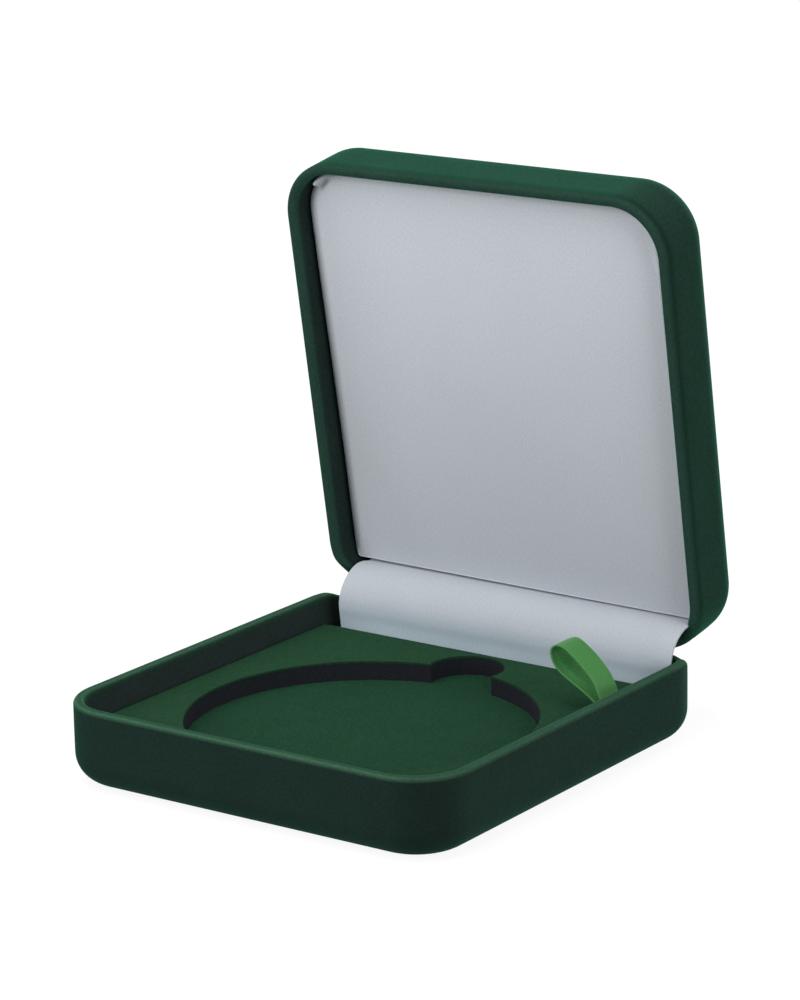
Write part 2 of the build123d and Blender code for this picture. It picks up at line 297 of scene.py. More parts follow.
# One flocked moulding: rounded below, rim rounded both sides, dipped and notched at the back
def makeHalf(name, toRow, seed, edgeShade, cornerShade, sideHighlight):
    core, way, radius = roundedStations(case["halfWidth"], -case["halfDepth"], case["halfDepth"],
                                        case["corner"], case["corner"], perSide=22, perCorner=32)
    profile = halfProfile()
    stations = len(core)
    diagonal = smooth(2 * np.abs(way[:, 0] * way[:, 1]), 0.3, 1.0)
    verts = []
    marks = {"rim": [], "crest": [], "edge": [], "inside": []}
    for inset, z, part, bright in profile:
        xy = core + way * (radius - inset)[:, None]
        dip = rear["dip"] * smooth(xy[:, 1], *rear["dipRun"])
        atNotch = (xy[:, 1] > rear["notchFrom"]) & (np.abs(way[:, 0]) < 1e-6)
        within = rear["notchHalfWidth"] - np.abs(xy[:, 0])
        notch = rear["notch"] * smooth(within, 0, rear["notchSlope"]) * atNotch
        follow = 1.0 if part == rimPart else smooth(z, *rear["followRun"])
        verts.append(np.column_stack([xy, z - (dip + notch) * follow]))
        # painted shade: a darker line below the rim's outer edge, and darker outer corners
        turn = np.clip((z - case["height"] + case["lineDepth"]) / case["lineDepth"], 0, 1)
        line = math.sin(math.pi * turn ** 0.6) if inset < case["wall"] / 2 else 0.0
        corner = diagonal * (part == outerPart)
        marks["rim"].append(np.full(stations, float(part == rimPart)))
        # the painted highlight along the rim, kept weaker on the sides
        marks["crest"].append(bright * (1 - (1 - sideHighlight) * smooth(way[:, 0], 0.0, 0.6)))
        marks["edge"].append(edgeShade * line + cornerShade * corner)
        marks["inside"].append(np.full(stations, float(part == innerPart)))
    verts = np.concatenate(verts)
    # the outer walls are not quite flat
    depth = np.repeat(profile[:, 1], stations)
    wall = np.repeat(profile[:, 0] < 0.01, stations) & (depth > case["edgeRound"])
    sway = case["swell"] * waves(verts, case["swellScale"], seed) * smooth(depth, *case["swellLow"])
    sway = sway * (1 - smooth(depth, *case["swellHigh"]))
    verts[:, :2] += np.tile(way, (len(profile), 1)) * np.where(wall, sway, 0)[:, None]
    faces = cappedFaces(len(profile), stations)
    verts = verts.tolist()
    for low, high in railBoxes():
        v, f = boxIsland(low, high)
        faces += [tuple(i + len(verts) for i in face) for face in f]
        verts += v
    obj = makeObject(name, verts, faces, toRow)
    extra = len(verts) - len(depth)
    for mark, values in marks.items():
        addValue(obj, mark, np.concatenate([*values, np.full(extra, float(mark == "inside"))]))
    sharpen(obj, 50)
    return obj


# A short way to build a material's nodes
class Shader:

    def __init__(self, name):
        self.material = bpy.data.materials.new(name)
        self.material.use_nodes = True
        self.tree = self.material.node_tree
        self.nodes = self.tree.nodes
        self.main = self.nodes["Principled BSDF"]

    def add(self, kind, **values):
        node = self.nodes.new(kind)
        for key, value in values.items():
            setattr(node, key, value)
        return node

    def link(self, source, target):
        self.tree.links.new(source, target)

    def place(self, space="Object"):
        return self.add("ShaderNodeTexCoord").outputs[space]

    def stretched(self, vector, scale):
        node = self.add("ShaderNodeMapping")
        node.inputs["Scale"].default_value = scale
        self.link(vector, node.inputs["Vector"])
        return node.outputs["Vector"]

    def noise(self, vector, scale, detail=2.0, rough=0.5, distort=0.0):
        node = self.add("ShaderNodeTexNoise")
        self.link(vector, node.inputs["Vector"])
        node.inputs["Scale"].default_value = scale
        node.inputs["Detail"].default_value = detail
        node.inputs["Roughness"].default_value = rough
        node.inputs["Distortion"].default_value = distort
        return node.outputs["Fac"]

    # Two tones, with the values of the source where they stand
    def ramp(self, source, stops, tones):
        node = self.add("ShaderNodeValToRGB")
        self.link(source, node.inputs["Fac"])
        for element, stop, tone in zip(node.color_ramp.elements, stops, tones):
            element.position = stop
            element.color = (*tone, 1)
        return node.outputs["Color"]

    def math(self, kind, a, b=None):
        node = self.add("ShaderNodeMath", operation=kind)
        for slot, value in ((0, a), (1, b)):
            if value is None:
                continue
            if isinstance(value, (int, float)):
                node.inputs[slot].default_value = value
            else:
                self.link(value, node.inputs[slot])
        return node.outputs["Value"]

    # Sum of the sources, each times its share
    def total(self, *parts):
        terms = [self.math("MULTIPLY", source, share) for source, share in parts]
        result = terms[0]
        for term in terms[1:]:
            result = self.math("ADD", result, term)
        return result

    def mix(self, share, a, b, kind="MIX"):
        node = self.add("ShaderNodeMix", data_type="RGBA", blend_type=kind)
        for key, value in {"Factor": share, "A": a, "B": b}.items():
            socket = [s for s in node.inputs if s.name == key and s.enabled][0]
            if isinstance(value, (int, float)):
                socket.default_value = value
            elif isinstance(value, tuple):
                socket.default_value = (*value, 1)
            else:
                self.link(value, socket)
        return [s for s in node.outputs if s.enabled][0]

    def times(self, colour, factor):
        return self.mix(1.0, colour, factor, "MULTIPLY")

    def value(self, name):
        return self.add("ShaderNodeAttribute", attribute_name=name).outputs["Fac"]

    def bump(self, height, distance, strength):
        node = self.add("ShaderNodeBump")
        node.inputs["Strength"].default_value = strength
        node.inputs["Distance"].default_value = distance
        self.link(height, node.inputs["Height"])
        return node.outputs["Normal"]

    # Inputs of the main shader; an underscore in a name stands for a space
    def set(self, **values):
        for key, value in values.items():
            socket = self.main.inputs[key.replace("_", " ")]
            if hasattr(value, "is_linked"):
                self.link(value, socket)
            elif isinstance(value, tuple):
                socket.default_value = (*value, 1)
            else:
                socket.default_value = value


# noise of the pile: scale, detail, roughness and distortion
pile = {
    "fine": (4200, 2.0, 0.6),
    "tuft": (1900, 2.0, 0.6),
    "broad": (110, 3.0, 0.55, 0.4),
    "broadShare": 0.14,
    "below": 0.07,
    "above": 0.23,
    # shade is the colour of the painted shade line and corners
    "shade": (0.0016, 0.0045, 0.0030),
    "insideSheen": 0.15,
}


# Velour or flock: a short dense pile that brightens where it is seen along the surface
def pileMaterial(name, deep, light, sheen, tint, grain=1.0, rim=None, crest=None, inside=None, line=0.0):
    s = Shader(name)
    place = s.place()
    fine, tuft, broad = (s.noise(place, *pile[key]) for key in ("fine", "tuft", "broad"))
    cloud = s.total((fine, 0.5 * grain), (tuft, 0.5 * grain), (broad, pile["broadShare"]))
    low, high = 0.5 * grain - pile["below"], 0.5 * grain + pile["above"]

    def tones(pair):
        return s.ramp(cloud, (low, high), pair)

    colour = tones((deep, light))
    weight = sheen
    if rim:
        # a lighter tone painted on the rim, a painted highlight
        colour = s.mix(s.value("rim"), colour, tones(rim))
        # painted shade: the line below the rim and the corners darken toward the shade colour
        colour = s.mix(s.math("MULTIPLY", s.value("edge"), line), colour, pile["shade"])
    # painted highlight: a lighter tone along the rim's rounds
    if crest:
        colour = s.mix(s.value("crest"), colour, tones(crest))
    # painted light: a lighter tone on the inner walls, standing in for light they lack
    if inside:
        colour = s.mix(s.value("inside"), colour, tones(inside))
        full = 1 + pile["insideSheen"]
        weight = s.math("MULTIPLY", s.math("SUBTRACT", full, s.value("inside")), sheen / full)
    height = s.total((fine, 0.6), (tuft, 0.4))
    s.set(Base_Color=colour, Roughness=0.95, Specular_IOR_Level=0.04,
          Normal=s.bump(height, distance=0.00012, strength=0.8),
          Sheen_Weight=weight, Sheen_Roughness=0.45, Sheen_Tint=tint)
    return s


# threads of the satin, with the places of its two tones, and the tone of the painted shade at its edge
weave = {
    "stretch": 3.2,
    "thread": (1900, 2.0, 0.6),
    "weft": (1500, 2.0, 0.6),
    "broad": (40, 2.0, 0.5, 0.3),
    "twillPitch": 0.0003,
    "stops": (0.34, 0.66),
    "paintedShade": (0.30, 0.31, 0.33),
}


# Lining satin: close fine threads with a faint grain and a soft sheen
def satinMaterial(name, light, shade, paintedShade=0.0, fade=None, low=None, twill=0.045):
    s = Shader(name)
    place = s.place("UV")
    thread = s.noise(s.stretched(place, (1.0, weave["stretch"], 1.0)), *weave["thread"])
    weft = s.noise(s.stretched(place, (weave["stretch"], 1.0, 1.0)), *weave["weft"])
    broad = s.noise(place, *weave["broad"])
    slant = s.add("ShaderNodeVectorMath", operation="DOT_PRODUCT")
    s.link(place, slant.inputs[0])
    slant.inputs[1].default_value = (math.pi / weave["twillPitch"], math.pi / weave["twillPitch"], 0)
    diagonal = s.math("SINE", slant.outputs["Value"])
    cloud = s.total((thread, 0.54), (weft, 0.38), (broad, 0.08), (diagonal, twill))
    colour = s.ramp(cloud, weave["stops"], (shade, light))
    # painted shade: darker toward the panel's foot and one side
    if fade:
        colour = s.times(colour, s.ramp(s.value("fade"), (0, 1), [(bright,) * 3 for bright in fade]))
    # painted light: lighter and bluer on the lower part
    if low:
        colour = s.mix(s.value("low"), colour, s.times(colour, low))
    # painted shade: darker where the shade mask is set
    if paintedShade:
        colour = s.mix(s.math("MULTIPLY", s.value("paintedShade"), paintedShade), colour, s.times(colour, weave["paintedShade"]))
    height = s.math("ADD", thread, s.math("MULTIPLY", weft, 0.6))
    s.set(Base_Color=colour, Roughness=0.75, Specular_IOR_Level=0.12,
          Normal=s.bump(height, distance=0.00004, strength=0.5), Sheen_Weight=0.12, Sheen_Roughness=0.4)
    return s


# A material with a fine grain: card, paper, wadding or metal
def plainMaterial(name, first, second, scale, rough, metal=0.0, stretch=(1, 1, 1), bump=0.00003):
    s = Shader(name)
    grain = s.noise(s.stretched(s.place(), stretch), scale, 3.0, 0.6)
    s.set(Base_Color=s.ramp(grain, (0.35, 0.65), (first, second)), Roughness=rough, Metallic=metal,
          Normal=s.bump(grain, distance=bump, strength=0.6))
    return s


def dress(obj, shader):
    obj.data.materials.clear()
    obj.data.materials.append(shader.material)


# flocked shells
baseLook = {
    "deep": (0.0087, 0.0170, 0.0148),
    "light": (0.0164, 0.0332, 0.0284),
    "sheen": 0.17,
    "tint": (0.05, 0.47, 0.23),
    "grain": 0.65,
    # line is the strength of the painted shade line and corners
    "line": 1.0,
    # rim tones are lighter, a painted highlight
    "rim": ((0.0130, 0.0290, 0.0205), (0.0250, 0.0560, 0.0390)),
    # tones of the painted highlight along the rim
    "crest": ((0.0265, 0.0735, 0.0420), (0.0470, 0.1270, 0.0730)),
    # inner-wall tones are lighter, painted light
    "inside": ((0.0150, 0.0235, 0.0215), (0.0290, 0.0445, 0.0405)),
}
lidLook = {
    "deep": (0.0080, 0.0166, 0.0138),
    "light": (0.0154, 0.0324, 0.0268),
    "sheen": 0.29,
    "tint": (0.01, 0.47, 0.22),
    "grain": 1.1,
    # line is the strength of the painted shade line and corners
    "line": 0.60,
    # rim tones are lighter, a painted highlight
    "rim": ((0.0172, 0.0440, 0.0330), (0.0265, 0.0640, 0.0485)),
    # inner-wall tones are lighter, painted light
    "inside": ((0.0105, 0.0190, 0.0175), (0.0215, 0.0370, 0.0340)),
}
flock = pileMaterial("flock", **baseLook)
lidFlock = pileMaterial("lidFlock", **lidLook)
baseShell = makeHalf("baseShell", baseToRow, seed=11, edgeShade=0.0, cornerShade=0.27, sideHighlight=0.52)
dress(baseShell, flock)
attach(baseShell, "base")
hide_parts("base_shell")
lidShell = makeHalf("lidShell", lidToRow, seed=23, edgeShade=1.0, cornerShade=0.0, sideHighlight=1.0)
dress(lidShell, lidFlock)
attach(lidShell, "lid")
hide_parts("lid_shell")
print("shells")

# insert; recess and ring (the notch for the medal's ring) are centre x, y and radius, and a sag or roughness
# is its depth, scale and seed
insert = {
    "halfWidth": 42.9,
    "front": -45.9,
    "rear": 38.0,
    "frontCorner": 9.2,
    "rearCorner": 1.0,
    "foamLow": 6.2,
    "foamTop": 10.25,
    "top": 10.75,
    "recess": (0.0, -7.8, 35.3),
    "recessPoints": 240,
    "ring": (0.0, 28.8, 7.8),
    "ringPoints": 72,
    "cutRound": 0.28,
    "topRings": 25,
    "topPower": 1.25,
    "velourEdge": 0.3,
    "velourSag": (0.05, 31, 5),
    "foamEdge": 0.2,
    "wallRings": 12,
    "wallRough": (0.05, 6.5, 8),
    "floorGap": 0.1,
    "floorThick": 0.5,
    "floorRings": 34,
    "floorSag": (0.04, 27, 14),
}
recessCentre = np.array(insert["recess"][:2])


# Points round the recess, from one cusp round the circle to the other, then round the ring's notch
def recessLoop(gap=0.0):
    _, cy, big = insert["recess"]
    _, ry, small = insert["ring"]
    big, small = big - gap, small - gap
    apart = ry - cy
    along = (big * big - small * small + apart * apart) / (2 * apart)
    cuspX = math.sqrt(big * big - along * along)
    start = math.atan2(cuspX, along)
    loop = []
    for t in np.linspace(start, 2 * math.pi - start, insert["recessPoints"]):
        loop.append((big * math.sin(t), cy + big * math.cos(t)))
    side = math.atan2(cuspX, along - apart)
    for t in np.linspace(-side, side, insert["ringPoints"] + 2)[1:-1]:
        loop.append((small * math.sin(t), ry + small * math.cos(t)))
    return np.array(loop)


def insertOutline():
    core, way, radius = roundedStations(insert["halfWidth"], insert["front"], insert["rear"],
                                        insert["frontCorner"], insert["rearCorner"], perSide=30, perCorner=16)
    return core + way * radius[:, None]


# Where the ray from the origin through the point leaves the outline
def hitOutline(outline, origin, point):
    way = point - origin
    best = None
    for a, b in zip(outline, np.roll(outline, -1, axis=0)):
        edge = b - a
        cross = way[0] * edge[1] - way[1] * edge[0]
        if abs(cross) < 1e-12:
            continue
        gap = a - origin
        t = (gap[0] * edge[1] - gap[1] * edge[0]) / cross
        u = (gap[0] * way[1] - gap[1] * way[0]) / cross
        if t > 0 and -1e-9 <= u <= 1 + 1e-9 and (best is None or t > best):
            best = t
    return origin + way * best


# For each point of the recess, the point of the insert's edge that it is joined to
def outerTargets(loop):
    outline = insertOutline()
    count = insert["recessPoints"]
    targets = np.array([hitOutline(outline, recessCentre, p) for p in loop[:count]])
    first, last = targets[-1], targets[0]
    extra = len(loop) - count
    between = np.array([first + (last - first) * (i + 1) / (extra + 1) for i in range(extra)])
    return np.vstack([targets, between])


# Unit normals along a closed line, pointing away from the centre
def outNormals(line, centre):
    along = np.gradient(np.vstack([line[-1:], line, line[:1]]), axis=0)[1:-1]
    normal = np.column_stack([along[:, 1], -along[:, 0]])
    normal /= np.maximum(np.linalg.norm(normal, axis=1), 1e-9)[:, None]
    inward = np.mean(np.sum(normal * (line - centre), axis=1)) < 0
    return -normal if inward else normal


# A slab with the recess through it: rings from its underside, up the recess's wall, over, and down outside
def openRing(profileIn, low, high, spread):
    base = recessLoop()
    targets = outerTargets(base)
    normal = outNormals(base, recessCentre)
    outNormal = outNormals(targets, np.zeros(2))
    rings = [level(base + normal * step, z) for step, z in profileIn]
    inside = base + normal * profileIn[-1][0]
    edge = targets - outNormal * spread
    for t in np.linspace(0, 1, insert["topRings"] + 1)[1:]:
        rings.append(level(inside + (edge - inside) * t ** insert["topPower"], high))
    for a in np.linspace(0, 90, 5)[1:]:
        a = math.radians(a)
        rings.append(level(edge + outNormal * spread * math.sin(a), high - spread * (1 - math.cos(a))))
    rings.append(level(targets, low))
    n = len(base)
    faces = ringFaces(len(rings), n)
    last = (len(rings) - 1) * n
    faces += [(last + s, last + (s + 1) % n, (s + 1) % n, s) for s in range(n)]
    return np.concatenate(rings), faces


# velour sheet: its cut edge turns down a little into the recess
cut = insert["cutRound"]
velourIn = [(0.0, insert["foamTop"]), (0.0, insert["top"] - cut)]
for turn in np.linspace(0, 90, 6)[1:]:
    turn = math.radians(turn)
    velourIn.append((cut * (1 - math.cos(turn)), insert["top"] - cut + cut * math.sin(turn)))
verts, faces = openRing(velourIn, insert["foamTop"], insert["top"], insert["velourEdge"])
onTop = verts[:, 2] > insert["top"] - 0.01
verts[:, 2] -= np.where(onTop, sag(verts, *insert["velourSag"]), 0)
insertVelour = makeObject("insertVelour", verts, faces, baseToRow)
sharpen(insertVelour, 60)
velourLook = {
    "deep": (0.0070, 0.0210, 0.0112),
    "light": (0.0153, 0.0450, 0.0238),
    "sheen": 0.15,
    "tint": (0.12, 0.6, 0.25),
}
velour = pileMaterial("velour", **velourLook)
dress(insertVelour, velour)
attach(insertVelour, "insert")
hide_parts("insert_velour")

# foam below it: the cut wall is a little rough
foamLook = {
    "deep": (0.0070, 0.0084, 0.0112),
    "light": (0.0152, 0.0180, 0.0236),
    "stops": (0.3, 0.72),
    "cellScale": 4200,
    "speckScale": 2600,
}
foamIn = [(0.0, z) for z in np.linspace(insert["foamLow"], insert["foamTop"], insert["wallRings"])]
verts, faces = openRing(foamIn, insert["foamLow"], insert["foamTop"], insert["foamEdge"])
inWall = np.arange(len(verts)) < insert["wallRings"] * len(recessLoop())
outward = verts[:, :2] - recessCentre
outward /= np.linalg.norm(outward, axis=1)[:, None]
rough, scale, seed = insert["wallRough"]
verts[:, :2] += outward * np.where(inWall, np.abs(rough * waves(verts, scale, seed)), 0)[:, None]
insertFoam = makeObject("insertFoam", verts, faces, baseToRow)
sharpen(insertFoam, 60)
foamShader = Shader("foam")
place = foamShader.place()
cells = foamShader.add("ShaderNodeTexVoronoi")
foamShader.link(place, cells.inputs["Vector"])
cells.inputs["Scale"].default_value = foamLook["cellScale"]
speck = foamShader.noise(place, foamLook["speckScale"], 3.0, 0.6)
foamShader.set(Base_Color=foamShader.ramp(speck, foamLook["stops"], (foamLook["deep"], foamLook["light"])),
               Roughness=0.9, Specular_IOR_Level=0.15,
               Normal=foamShader.bump(cells.outputs["Distance"], distance=0.00005, strength=0.7))
dress(insertFoam, foamShader)
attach(insertFoam, "insert")
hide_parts("insert_foam")

# velour floor of the recess
floorLook = {
    "deep": (0.0056, 0.0192, 0.0105),
    "light": (0.0123, 0.0420, 0.0225),
    "sheen": 0.13,
    "tint": (0.12, 0.6, 0.3),
    "grain": 1.2,
}
loop = recessLoop(insert["floorGap"])
shares = np.linspace(0.04, 1, insert["floorRings"])
floorTop = insert["foamLow"] + insert["floorThick"]
verts = np.concatenate([level(recessCentre + (loop - recessCentre) * share, floorTop) for share in shares])
verts[:, 2] -= sag(verts, *insert["floorSag"])
verts = np.vstack([verts, level(loop, insert["foamLow"])])
faces = cappedFaces(insert["floorRings"] + 1, len(loop))
recessVelour = makeObject("recessVelour", verts, faces, baseToRow)
sharpen(recessVelour, 60)
floorVelour = pileMaterial("floorVelour", **floorLook)
dress(recessVelour, floorVelour)
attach(recessVelour, "insert")
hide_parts("recess_velour")
print("insert")

# ribbon pull: path in x and z, up beside the wall, over in the loop, and down again
ribbon = {
    "near": 16.0,
    "width": 6.4,
    "thick": 0.3,
    "points": 150,
    "bow": 0.08,
    "pitch": 0.00032,
    "grainScale": 2600,
    "ribShare": 0.25,
    "grainShare": 0.8,
    "stops": (0.36, 0.76),
    "deep": (0.0180, 0.120, 0.0164),
    "light": (0.0425, 0.255, 0.0400),
    "selvedgeRun": (0.25, 0.05),
    "farRun": (0.2, 3.2),
    "selvedge": (0.060, 0.275, 0.063),
    # painted shade and light on the loop's inner face: darker at the near edge, lighter toward the hinge
    "insideNear": (0.74, 0.72, 0.80),
    "insideFar": (2.7, 2.8, 3.5),
    "path": [(43.53, 5.6), (43.53, 8.2), (43.3, 10.3), (42.4, 11.9), (41.35, 13.25), (40.5, 14.8), (39.8, 16.45),
             (38.9, 17.95), (37.85, 19.2), (36.6, 20.4), (35.3, 21.55), (33.9, 22.6), (32.5, 23.5), (31.2, 23.95),
             (30.05, 23.75), (29.3, 23.1), (29.1, 22.1), (29.55, 20.5), (30.5, 19.25), (32.0, 18.1), (34.1, 16.9),
             (36.6, 15.5), (39.0, 13.9), (41.1, 12.2), (42.7, 10.6), (43.17, 8.6), (43.17, 5.6)],
}


# Length along a line up to each of its points
def runLengths(points):
    return np.concatenate([[0], np.cumsum(np.linalg.norm(np.diff(points, axis=0), axis=1))])


# An even run of points along a smooth line through the given ones, and its length
def smoothPath(points, count):
    p = np.array(points, float)
    gaps = np.sqrt(np.linalg.norm(np.diff(p, axis=0), axis=1))
    knots = np.concatenate([[0], np.cumsum(gaps)])
    slopes = np.gradient(p, knots, axis=0)
    out = []
    for t in np.linspace(0, knots[-1], count * 6):
        i = min(np.searchsorted(knots, t, side="right") - 1, len(p) - 2)
        h = knots[i + 1] - knots[i]
        u = (t - knots[i]) / h
        a, b = 2 * u ** 3 - 3 * u ** 2 + 1, u ** 3 - 2 * u ** 2 + u
        c, d = -2 * u ** 3 + 3 * u ** 2, u ** 3 - u ** 2
        out.append(a * p[i] + b * h * slopes[i] + c * p[i + 1] + d * h * slopes[i + 1])
    out = np.array(out)
    length = runLengths(out)
    even = np.linspace(0, length[-1], count)
    return np.column_stack([np.interp(even, length, out[:, k]) for k in range(2)]), length[-1]


# A strip of given thickness along a path; at gives the row point of path point and place across
def stripMesh(path, across, thick, at):
    way = np.gradient(path, axis=0)
    way /= np.linalg.norm(way, axis=1)[:, None]
    side = np.column_stack([-way[:, 1], way[:, 0]])
    length = runLengths(path)
    rows, cols = len(path), len(across)
    verts, uv, faces = [], [], []
    for sign in (1, -1):
        for r in range(rows):
            for c in range(cols):
                verts.append(at(path[r] + side[r] * sign * thick / 2, across[c], r))
                uv.append((across[c] * mm, length[r] * mm))
    front, behind = np.arange(2 * rows * cols).reshape(2, rows, cols).tolist()
    for r in range(rows - 1):
        for c in range(cols - 1):
            faces.append((front[r][c], front[r][c + 1], front[r + 1][c + 1], front[r + 1][c]))
            faces.append((behind[r][c], behind[r + 1][c], behind[r + 1][c + 1], behind[r][c + 1]))
    for r in range(rows - 1):
        for c in (0, cols - 1):
            faces.append((front[r][c], front[r + 1][c], behind[r + 1][c], behind[r][c]))
    for c in range(cols - 1):
        for r in (0, rows - 1):
            faces.append((front[r][c], front[r][c + 1], behind[r][c + 1], behind[r][c]))
    return verts, faces, uv


# The ribbon bows a little across its width, most at the middle of its length
def ribbonPoint(xz, side, row):
    share = math.sin(math.pi * row / (ribbon["points"] - 1)) ** 2
    bow = ribbon["bow"] * math.cos(side / ribbon["width"] * math.pi) * share
    return (xz[0] - bow, ribbon["near"] + ribbon["width"] / 2 + side, xz[1] + bow * 0.5)


line, ribbonLength = smoothPath(ribbon["path"], ribbon["points"])
half = ribbon["width"] / 2
acrossRibbon = half * np.concatenate([[-1, -0.95], np.linspace(-0.9, 0.9, 15), [0.95, 1]])
verts, faces, uv = stripMesh(line, acrossRibbon, ribbon["thick"], ribbonPoint)
ribbonLoop = makeObject("ribbonLoop", verts, faces, baseToRow)
addUv(ribbonLoop, uv)
sharpen(ribbonLoop, 55)
# selvedge at both edges, within on the loop's inner face, far toward the hinge, for the inner face's painted shade
# and light
acrossAt = np.array([v[1] for v in verts]) - ribbon["near"]
wide, narrow = ribbon["selvedgeRun"]
addValue(ribbonLoop, "selvedge", smooth(np.abs(acrossAt - half), half - wide, half - narrow))
addValue(ribbonLoop, "within", (np.arange(len(verts)) < len(verts) // 2) * 1.0)
addValue(ribbonLoop, "far", smooth(acrossAt, *ribbon["farRun"]))
grosgrain = Shader("grosgrain")
lines = grosgrain.add("ShaderNodeSeparateXYZ")
grosgrain.link(grosgrain.place("UV"), lines.inputs["Vector"])
rib = grosgrain.math("SINE", grosgrain.math("MULTIPLY", lines.outputs["Y"], 2 * math.pi / ribbon["pitch"]))
rib = grosgrain.math("MULTIPLY_ADD", rib, 0.5)  # plus 0.5, the third input's own default
grain = grosgrain.noise(grosgrain.place("UV"), ribbon["grainScale"], 2.0, 0.6)
tone = grosgrain.total((rib, ribbon["ribShare"]), (grain, ribbon["grainShare"]))
body = grosgrain.ramp(tone, ribbon["stops"], (ribbon["deep"], ribbon["light"]))
# painted shade at the inner face's near edge, painted light toward the hinge
shaded = grosgrain.mix(grosgrain.value("far"), ribbon["insideNear"], ribbon["insideFar"])
body = grosgrain.mix(grosgrain.value("within"), body, grosgrain.times(body, shaded))
body = grosgrain.mix(grosgrain.value("selvedge"), body, ribbon["selvedge"])
grosgrain.set(Base_Color=body, Roughness=0.5, Specular_IOR_Level=0.4,
              Normal=grosgrain.bump(rib, distance=0.00003, strength=0.6), Sheen_Weight=0.15)
dress(ribbonLoop, grosgrain)
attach(ribbonLoop, "insert")
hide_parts("ribbon_loop")
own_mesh(ribbonLoop)
print("ribbon", round(ribbonLength, 1))

# lining panel of the lid; roll is the rolled edge's spread and depth, and its spread at the foot; sideRoll is
# what one side has more of both; a run is where something starts and ends
lining = {
    "halfWidth": 43.5,
    "top": -46.5,
    "foot": 42.2,
    "topCorner": 9.8,
    "footCorner": 2.2,
    "face": 12.06,
    "low": 8.26,
    "roll": (2.9, 1.5, 0.15),
    "sideRoll": (0.8, 0.5),
    "crown": 0.22,
    "crownRun": (0.80, 0.985),
    "ripple": (0.12, 38),
    "rippleRun": (0.85, 0.98),
    "askew": 0.7,
    "askewRun": (20, 40),
    "lean": 1.0,
    "leanRun": (-25, 42),
    "ruckAt": (38.9, -44.3),
    "ruckHeight": 2.6,
    "ruckHalf": 0.6,
    "ruckRun": 1.6,
    # painted shade beside the ruck and along one side edge
    "ruckShade": (1.6, 1.35, 0.55),
    "paintedShadeRun": (-0.3, 3.4),
    # painted shade toward the foot and one side: its length, side share and run
    "fadeLength": 88,
    "fadeSide": 0.4,
    "fadeRun": (20, 42),
}
satinLook = {
    "light": (0.79, 0.84, 0.90),
    "shade": (0.615, 0.658, 0.715),
    # strength of the painted shade at the edge and beside the ruck
    "paintedShade": 0.5,
    # levels of the painted shade at the top and at the foot
    "fade": (1.0, 0.77),
}
waddingFill = {
    "inset": 0.3,
    "below": 0.35,
    "low": 9.76,
    "roll": (2.4, 1.2, 0.4),
    "crown": 0.15,
}


# A padded panel: straight sides, rolled edge, and a face that swells a little toward its middle
def panelMesh(inset, face, low, roll, crown, seed):
    core, way, radius = roundedStations(lining["halfWidth"] - inset, lining["top"] + inset, lining["foot"] - inset,
                                        lining["topCorner"] - inset, lining["footCorner"] - inset,
                                        perSide=26, perCorner=34)
    width, depth, footWidth = roll
    moreWidth, moreDepth = lining["sideRoll"]
    aside = np.maximum(way[:, 0], 0) ** 2
    deep = depth + moreDepth * aside
    spread = width + (footWidth - width) * np.maximum(way[:, 1], 0) ** 2 + moreWidth * aside
    side = core + way * radius[:, None]
    rings = [level(side, low), level(side, (low + face - deep) / 2)]
    for a in np.linspace(0, 90, 11):
        a = math.radians(a)
        short = np.minimum(spread * (1 - math.cos(a)), radius * 0.97)  # never quite to a corner's centre
        rings.append(level(core + way * (radius - short)[:, None], face - deep + deep * math.sin(a)))
    edge = rings[-1][:, :2]
    centre = np.array([0.0, (lining["top"] + lining["foot"]) / 2])
    for share in np.linspace(1, 0.03, 40)[1:]:
        rings.append(level(centre + (edge - centre) * share, face))
    verts = np.concatenate(rings)
    rel = np.column_stack([verts[:, 0] / lining["halfWidth"],
                           (verts[:, 1] - centre[1]) / (lining["foot"] - centre[1])])
    off = np.maximum(np.abs(rel[:, 0]), np.abs(rel[:, 1]))
    onFace = verts[:, 2] > face - 0.001
    verts[:, 2] += np.where(onFace, crown * (1 - smooth(off, *lining["crownRun"])) - crown, 0)
    ripple, scale = lining["ripple"]
    calm = 1 - smooth(off, *lining["rippleRun"])
    verts[:, 2] += np.where(onFace, crown * ripple * waves(verts, scale, seed) * calm, 0)
    # its foot isn't quite square, and its face leans out toward the top
    toSide = 0.5 + verts[:, 0] / (2 * lining["halfWidth"])
    verts[:, 1] -= lining["askew"] * toSide * smooth(verts[:, 1], *lining["askewRun"])
    verts[:, 2] += lining["lean"] * smooth(-verts[:, 1], *lining["leanRun"]) * (verts[:, 2] > low + 0.5)
    return verts, cappedFaces(len(rings), len(core))


verts, faces = panelMesh(0.0, lining["face"], lining["low"], lining["roll"], lining["crown"], 31)
# a small ruck of the satin that stands up in one top corner
away = (verts[:, :2] - np.array(lining["ruckAt"])) * math.sqrt(0.5)
along, outward = away[:, 0] + away[:, 1], away[:, 0] - away[:, 1]
ruck = lining["ruckHeight"] * np.exp(-(outward / lining["ruckHalf"]) ** 4)
beside = np.exp(-(along / lining["ruckRun"]) ** 4)
verts[:, 2] += beside * ruck * (verts[:, 2] > lining["low"] + 1.2)
liningSatin = makeObject("liningSatin", verts, faces, lidToRow)
addUv(liningSatin, verts[:, :2] * mm)
# painted shade: darker along the panel's +x side edge, and a painted shadow beside the ruck
paintedShade = 1 - smooth(lining["halfWidth"] - verts[:, 0], *lining["paintedShadeRun"])
shadeDepth, shadeOff, shadeHalf = lining["ruckShade"]
paintedShade = np.maximum(paintedShade, shadeDepth * beside * np.exp(-((outward + shadeOff) / shadeHalf) ** 2))
addValue(liningSatin, "paintedShade", paintedShade)
